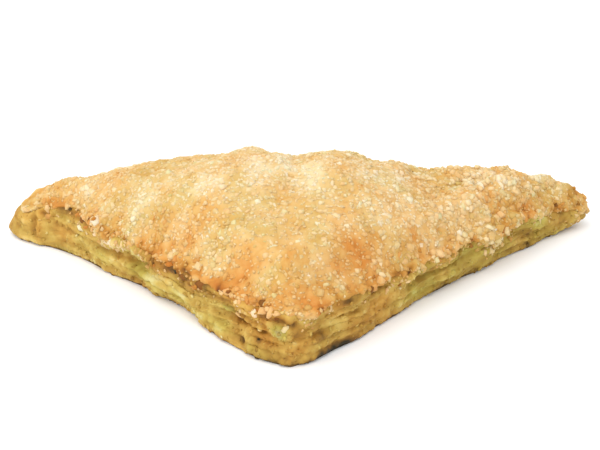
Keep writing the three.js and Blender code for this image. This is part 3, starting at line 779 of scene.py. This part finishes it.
# Among these marks the small dents are darkened as painted shade, and the pale patch along the
# crease between the humps is painted light that takes out the crease's shade.
CRUST_MARKS = [  # browned, pale and raised places of the crust, in plan
    dict(x=-17.9, y=-25.3, rx=6, ry=3.5, bake=-0.14, hue=0.4),
    dict(x=-19.4, y=-29, rx=2, ry=1.4, bake=-0.2, hue=0.6),
    dict(x=-14.7, y=-29.6, rx=2, ry=1.4, bake=-0.15, hue=0.5),
    dict(x=-11.6, y=-29, rx=2, ry=1.2, out=0.4, bake=0.2),
    dict(x=2, y=-24.9, rx=1.5, ry=1, out=0.3, bake=0.2),
    dict(x=9.3, y=-21.5, rx=3.4, ry=3, bake=-0.22, hue=0.8),
    dict(x=6, y=-27.9, rx=3, ry=2, bake=-0.12, hue=1),
    dict(x=-2, y=-38.6, rx=4, ry=2.4, bake=-0.3, hue=0.7),
    dict(x=-5, y=-35, rx=12, ry=6, bake=-0.18, hue=0.1),
    dict(x=13, y=-19, rx=11, ry=8, bake=-0.06, hue=0.5),
    dict(x=-22, y=10, rx=24, ry=15, bake=0.17, hue=0.2),
    dict(x=-29, y=6, rx=7, ry=6, bake=0.18),
    dict(x=13, y=6, rx=16, ry=10, bake=0.2, hue=0.1),
    # Painted light along the crease between the humps, which takes out its shade.
    dict(x=-8, y=8, rx=7, ry=12, bake=0.16, hue=-0.1),
    dict(x=-17.9, y=-35.7, rx=2.2, ry=1.6, out=0.8, bake=0.12, hue=0.9),
    dict(x=-12.6, y=-39.7, rx=2.2, ry=1.6, out=0.8, bake=0.15, hue=0.9),
    dict(x=-13.3, y=-33.5, rx=4, ry=2, bake=0.25, hue=-0.4),
    dict(x=-5.5, y=-33.5, rx=5, ry=2.5, bake=0.08),
    dict(x=-26.2, y=-20.8, rx=4, ry=3, bake=0.08, hue=0.2),
    dict(x=-21, y=-20, rx=7, ry=5, bake=0.06, hue=-0.4),
    dict(x=-26, y=-26, rx=6, ry=3.6, bake=-0.32, hue=0.1),
    dict(x=-14, y=-19, rx=8, ry=5, bake=0.12, hue=-0.2),
    dict(x=-43, y=-4.5, rx=6, ry=4, bake=-0.28, hue=0.1),
    dict(x=-34, y=-11, rx=4, ry=3, bake=-0.22, hue=0.3),
    dict(x=12, y=26, rx=10, ry=5, bake=0.25, hue=-0.2),
    dict(x=20, y=-18, rx=6, ry=3, bake=-0.2, hue=0.1),
    dict(x=12, y=-23.5, rx=5, ry=3, bake=-0.18, hue=0.2),
    dict(x=-35.1, y=-6.1, rx=1.6, ry=1.6, out=0.4, bake=0.2, hue=0.4),
    dict(x=-38.8, y=-7.6, rx=1.3, ry=1, bake=-0.35, hue=0.4),
    dict(x=-42.3, y=-6.5, rx=2, ry=1.6, out=0.6, bake=0.05, hue=0.6),
    dict(x=-46.1, y=-0.1, rx=2.5, ry=2, bake=-0.18, hue=0.5),
    dict(x=-51, y=4.4, rx=2.2, ry=3, out=0.9, bake=0.24, hue=-0.4),
    dict(x=-60.6, y=13.5, rx=2.6, ry=2, out=0.9, bake=0.35, hue=0.4),
    dict(x=-53.8, y=11.3, rx=3, ry=2, bake=-0.1, hue=0.2),
    dict(x=-68.4, y=26.4, rx=2, ry=2, bake=-0.18, hue=0.6),
    dict(x=-72.4, y=28.8, rx=6, ry=4, out=0.3, bake=-0.06, hue=-0.3),
    dict(x=-6, y=5.1, rx=1.6, ry=0.8, out=-0.5, bake=-0.4, hue=0.5),
    dict(x=-8.6, y=-2.2, rx=1.8, ry=1.2, bake=-0.15, hue=0.6),
    dict(x=24.5, y=-6.3, rx=3, ry=2, bake=-0.14, hue=0.5),
    dict(x=30, y=-10, rx=3.8, ry=3, bake=-0.34, hue=0.6),
    dict(x=50.5, y=8.8, rx=3.4, ry=2.2, out=0.6, bake=0.3, hue=-0.3),
    dict(x=57.8, y=22.3, rx=3.5, ry=2.5, out=0.4, bake=0.3, hue=-0.4),
    dict(x=52, y=16.2, rx=3.4, ry=2.6, bake=-0.2, hue=0.5),
    dict(x=62, y=20.6, rx=3.6, ry=3, bake=-0.22, hue=0.5),
    dict(x=57.8, y=18.9, rx=1.2, ry=1.2, out=-0.3, bake=-0.2),
    dict(x=72.8, y=32, rx=2, ry=2, out=0.4, bake=0.15, hue=0.4),
]


def crustiness(x):
    """How coarse and knobbly the crust is at places along X, from nought to one: the right third
    caught more sugar."""
    return smooth((x - COARSE["x"]) / COARSE["over"])


def crusted(points):
    """Rise and values of the sugared skin at points: pebbles and slow bumps, its bake and hue with
    the marks of the crust and of the cut edges, with their painted shade and light, and the share
    of sugar that it holds."""
    x, y, _ = np.moveaxis(points, -1, 0)
    marks = {"out": 0, "bake": 0, "hue": 0}
    for mark in CRUST_MARKS:
        shape = bell((x - mark["x"]) / mark["rx"]) * bell((y - mark["y"]) / mark["ry"])
        for key in marks:
            marks[key] = marks[key] + mark.get(key, 0) * shape
    for key in marks:
        marks[key] = marks[key] + marked(points, key)
    angle = np.arctan2(y - CENTRE[1], x - CENTRE[0])
    tips = at_tip(angle, LEFT_TIP) + at_tip(angle, RIGHT_TIP)
    rim = bell(from_cut_edges(x, y) / RIM)
    height, own = pebbles(points, SKIN_PEBBLE, 51)
    clump, _ = pebbles(points, SKIN_CLUMP, 65)
    bare = bell((x - BARE["x"]) / BARE["rx"]) * bell((y - BARE["y"]) / BARE["ry"])
    crusty = crustiness(x)
    rise = (0.45 - 0.2 * bare + 0.35 * crusty) * height
    rise = uneven(rise, points, SKIN_LUMPS) + marks["out"]
    knobs = 0.8 * (clump - 0.5) + 0.4 * lumps(points, 1.7, 66)
    rise = rise + np.maximum(rim, 0.8 * crusty) * knobs

    bake = uneven(PLAIN_BAKE + 0.1 * height + 0.06 * own, points, SKIN_TONES)
    bake = bake - rim * (0.13 - 0.2 * (clump - 0.5) - 0.12 * lumps(points, 3.4, 67))
    bake = bake + 0.16 * np.maximum(rim, crusty) * (clump - 0.45)
    hue = 0.55 * lumps(points, 7, 60) + marks["hue"] - 0.3 * rim
    fold = bell(inside(FOLD_EDGE, x, y) / BROWN_FOLD)
    browned = np.minimum(marks["bake"] + 0.12, 0)
    values = {
        "bake": bake + MARK_STRENGTH * marks["bake"] - 0.1 * fold,
        "hue": np.maximum(hue, -0.4),
        "sugar": np.clip((1 - 0.5 * bare) * (1 - 0.7 * fold) * (1 + 2.4 * browned), 0, 1),
    }
    return SKIN + PROUD * rim * (1 - tips) + rise, values


# Egg wash baked with sugar on puff pastry: a dull film that lets some light through, caramel brown
# where it lay bare and cream where the sugar lay thick.
egg_washed = baked(
    "egg_washed_crust",
    ["#6a4014", "#ad7226", "#c98f42", "#d1a660", "#d7b478", "#e2ca9c"],
    roughness=0.6,
    gloss=0.3,
    glow=0.4,
    crumb=1.5,
    grain=0.7,
)

edge = skin_edge(station_angles)
wall_points = wall_form(station_angles, lerp(edge, 1, np.reshape(SKIN_ROWS, (-1, 1))))
above_edge = wall_points[..., 2] - wall_points[0, :, 2]
rise, values = crusted(wall_points)
rise = rise - SKIN_EDGE["thin"] * (1 - smooth(above_edge / SKIN_EDGE["high"]))
on_wall = np.maximum(at_cut(station_angles), at_tip(station_angles, RIGHT_TIP))
values["sugar"] = values["sugar"] * smooth(above_edge - 0.3) * lerp(0.3, 0.9, on_wall)
closing = rings_to_centre(wall_points[0], FLOOR_RINGS, lambda x, y: 0 * x + SKIN_FLOOR)
parts = [
    (pole(*CENTRE, SKIN_FLOOR), 0, {}),
    (closing, 0, {}),
    (wall_points, rise, values),
]
around = wall_points[-1]
for shares in SKIN_RINGS:
    rings = rings_to_centre(around, shares, crust_height)
    parts.append((rings, *crusted(rings)))
    around = around[::2]
parts.append((pole(*CENTRE, crust_height(*CENTRE)), SKIN, {"bake": 0.7, "sugar": 1}))
sugared_skin = place("sugared_skin", *surface(parts), egg_washed)


# Coarse sugar. Broken crystals, most of them 1 to 3 mm across, were strewn on the egg wash and
# baked fast, so that they lie half sunk in the skin, softened by the heat. Most stayed cream, and
# those on the browned places caramelised.

SUGAR_SPACING = 1.9
SUGAR_SIZE = (1.4, 3)  # across, before a crystal is flattened
SUGAR_FLATNESS = 0.6
SUGAR_BAKE = 0.45  # crystals are at least this pale, before the rim and a random spread
SUGAR_RIM = 5  # width of the band along the cut edges with larger, browner crystals
NUGGETS = 10
NUGGET_POINTS = 14
NUGGET_TILT = 0.22
DRAWS = 3  # random places drawn for each that a spacing leaves room for

# Coarse sugar baked with egg wash: the heat took the glitter from its crystals and turned them
# cream to caramel, so they are nearly matt and let some light through.
sugar = baked(
    "baked_sugar_crystal",
    ["#80501a", "#bb8034", "#d0a25e", "#dab881", "#e2ca9b", "#e9d9ba"],
    roughness=0.6,
    gloss=0.25,
    glow=0.25,
    crumb=1.2,
    grain=0.5,
)

random = np.random.default_rng(7)


def nugget():
    """A broken crystal as points and triangles: the hull of random points near a rounded block."""
    ball = random.normal(size=(NUGGET_POINTS, 3))
    ball /= np.linalg.norm(ball, axis=1, keepdims=True)
    block = ball / np.max(np.abs(ball), axis=1, keepdims=True)
    shape = bpy.data.meshes.new("hull")
    hull = bmesh.new()
    for point in lerp(ball, block, 0.35) * random.uniform(0.85, 1, (NUGGET_POINTS, 1)):
        hull.verts.new(point)
    bmesh.ops.convex_hull(hull, input=hull.verts)
    bmesh.ops.triangulate(hull, faces=hull.faces)
    hull.to_mesh(shape)
    hull.free()
    points = np.array([vertex.co for vertex in shape.vertices])
    faces = np.array([polygon.vertices for polygon in shape.polygons])
    bpy.data.meshes.remove(shape)
    return points, faces


nuggets = [nugget() for _ in range(NUGGETS)]


def strewn(piece, spacing, weight):
    """Places strewn over a piece, with their normals and values: random points of its triangles,
    drawn by area, thinned to one in each cube of a lattice a spacing wide, and kept by the weight
    that the piece carries."""
    mesh = piece.data
    mesh.calc_loop_triangles()
    corners = np.empty(3 * len(mesh.loop_triangles), np.int32)
    mesh.loop_triangles.foreach_get("vertices", corners)
    corners = corners.reshape(-1, 3)
    points = np.empty(3 * len(mesh.vertices))
    mesh.vertices.foreach_get("co", points)
    points = points.reshape(-1, 3) / MM + ORIGIN
    normals = np.empty(3 * len(mesh.vertices))
    mesh.vertices.foreach_get("normal", normals)
    values = {}
    for key in ("bake", "hue", weight):
        values[key] = np.empty(len(mesh.vertices), np.float32)
        mesh.attributes[key].data.foreach_get("value", values[key])
    a, b, c = np.moveaxis(points[corners], 1, 0)
    area = np.linalg.norm(np.cross(b - a, c - a), axis=-1) * (values[weight][corners].max(-1) > 0)
    draws = int(DRAWS * area.sum() / spacing**2)
    drawn = random.choice(len(corners), size=draws, p=area / area.sum())
    along, across = np.sqrt(random.uniform(size=draws)), random.uniform(size=draws)
    shares = np.stack([1 - along, along * (1 - across), along * across], -1)[..., None]
    at = (points[corners[drawn]] * shares).sum(1)
    _, first = np.unique(np.floor(at / spacing).astype(int), axis=0, return_index=True)
    here, shares, at = corners[drawn][first], shares[first], at[first]
    found = {key: (value[here] * shares[..., 0]).sum(1) for key, value in values.items()}
    kept = random.uniform(size=len(at)) < found.pop(weight)
    normal = (normals.reshape(-1, 3)[here] * shares).sum(1)
    return at[kept], normal[kept], {key: value[kept] for key, value in found.items()}


def grains(at, normals, values, sizes, flat):
    """Nuggets of given sizes at places on a surface, each turned and tilted at random and flattened
    against it, as points, faces, rises and values."""
    up = normals + random.normal(0, NUGGET_TILT, at.shape)
    up /= np.linalg.norm(up, axis=1, keepdims=True)
    side = np.cross(up, random.normal(size=at.shape))
    side /= np.linalg.norm(side, axis=1, keepdims=True)
    axes = np.stack([side, np.cross(up, side), up], 1)
    stretch = random.uniform(0.8, 1.15, at.shape) * (1, 1, flat) * sizes[:, None] / 2
    kind = random.integers(NUGGETS, size=len(at))
    points, faces, given = [], [], {key: [] for key in values}
    start = 0
    for number, (shape, triangles) in enumerate(nuggets):
        here = kind == number
        count = int(here.sum())
        each = np.einsum("vi,ni,nij->nvj", shape, stretch[here], axes[here]) + at[here][:, None]
        points.append(each.reshape(-1, 3))
        firsts = start + np.arange(count) * len(shape)
        faces.append((triangles[None] + firsts[:, None, None]).reshape(-1, 3))
        for key, value in values.items():
            given[key].append(np.repeat(value[here], len(shape)))
        start += count * len(shape)
    points = np.concatenate(points)
    given = {key: np.concatenate(value) for key, value in given.items()}
    return points, faces, np.zeros(len(points)), given


def strewn_on(pieces, spacing, weight):
    """Places strewn over several pieces, as their places, normals and values in one."""
    found = [strewn(piece, spacing, weight) for piece in pieces]
    at, normals = (np.concatenate([each[i] for each in found]) for i in (0, 1))
    values = {key: np.concatenate([each[2][key] for each in found]) for key in ("bake", "hue")}
    return at, normals, values


at, normals, values = strewn_on([sugared_skin, leaves], SUGAR_SPACING, "sugar")
rim = bell(from_cut_edges(at[:, 0], at[:, 1]) / SUGAR_RIM)
coarse = np.maximum(crustiness(at[:, 0]), rim)
sizes = lerp(*SUGAR_SIZE, random.beta(1.3, 2, len(at))) * (1 + 0.3 * coarse)
values["bake"] = np.maximum(values["bake"], SUGAR_BAKE - 0.12 * rim) - 0.06 * rim
values["bake"] = values["bake"] + (1 + 0.7 * rim) * random.normal(0, 0.1, len(at))
values["hue"] = np.maximum(0.6 * values["hue"], -0.3) + random.normal(0.1, 0.3, len(at))
sunk = random.uniform(0.08, 0.24, len(at)) - 0.05 * coarse
at = at - normals * (sizes * sunk)[:, None]
crystals = grains(at, normals, values, sizes, SUGAR_FLATNESS)
coarse_sugar = place("coarse_sugar", *crystals, sugar)


# Fine sugar. Smaller broken crystals and crumbs of the egg wash fill the gaps between the coarse
# ones, and are baked fast in the same way.

FINE_SPACING = 1.6
FINE_SIZE = (0.7, 1.3)
FINE_FLATNESS = 0.7

at, normals, values = strewn_on([sugared_skin, leaves], FINE_SPACING, "sugar")
sizes = random.uniform(*FINE_SIZE, len(at))
values["bake"] = np.maximum(values["bake"], SUGAR_BAKE) + random.normal(0, 0.08, len(at))
values["hue"] = 0.6 * values["hue"] + random.normal(0, 0.2, len(at))
crystals = grains(at, normals, values, sizes, FINE_FLATNESS)
fine_sugar = place("fine_sugar", *crystals, sugar)


# Crumbs. Bits of the thin leaves, of the same dough, that broke off where it was cut and baked
# fast to the cut edges.

CRUMB_SPACING = 1.5
CRUMB_SIZE = (0.5, 2.2)
CRUMB_FLATNESS = 0.55

at, normals, values = strewn_on([leaves], CRUMB_SPACING, "crumbs")
sizes = lerp(*CRUMB_SIZE, random.beta(1.2, 2.5, len(at)))
values["bake"] = values["bake"] + random.normal(0.02, 0.1, len(at))
bits = grains(at, normals, values, sizes, CRUMB_FLATNESS)
crumbs = place("crumbs", *bits, laminated)


# Table, light and camera. A white table under one large soft light and an even white room, seen
# from the front and a little from the left, as far above the table as the photograph shows.

TABLE_HALF = 3  # in metres, as the light's size is
table = bpy.data.meshes.new("table")
corners = [(-1, -1), (1, -1), (1, 1), (-1, 1)]
table.from_pydata([(a * TABLE_HALF, b * TABLE_HALF, 0) for a, b in corners], [], [(0, 1, 2, 3)])
# Uncoated white paper: matt, so that it mirrors nothing
paper = bpy.data.materials.new("matt_white_paper")
paper.use_nodes = True
paper.node_tree.nodes["Principled BSDF"].inputs["Base Color"].default_value = colour("#f8f8f8")
paper.node_tree.nodes["Principled BSDF"].inputs["Roughness"].default_value = 0.9
table.materials.append(paper)
floor = bpy.data.objects.new("table", table)
bpy.context.scene.collection.objects.link(floor)

world = bpy.data.worlds.new("white_room")
world.use_nodes = True
world.node_tree.nodes["Background"].inputs["Color"].default_value = (1, 1, 1, 1)
world.node_tree.nodes["Background"].inputs["Strength"].default_value = 1.0
bpy.context.scene.world = world
bpy.context.scene.view_settings.view_transform = "Standard"

LIGHT_FROM = Vector((-0.5, -0.5, 1.1))
light = bpy.data.lights.new("softbox", "AREA")
light.size = 2
light.energy = 15
softbox = bpy.data.objects.new("softbox", light)
softbox.location = LIGHT_FROM
softbox.rotation_euler = (-LIGHT_FROM).to_track_quat("-Z", "Y").to_euler()
bpy.context.scene.collection.objects.link(softbox)

CAMERA_AT = Vector((-16.53, -441.53, 234.92)) * MM
CAMERA_TO = Vector((-1.27, 8.21, 16.72)) * MM
lens = bpy.data.cameras.new("camera")
lens.lens = 107.5
lens.sensor_width = 36
camera = bpy.data.objects.new("camera", lens)
camera.location = CAMERA_AT
camera.rotation_euler = (CAMERA_TO - CAMERA_AT).to_track_quat("-Z", "Y").to_euler()
bpy.context.scene.collection.objects.link(camera)
bpy.context.scene.camera = camera
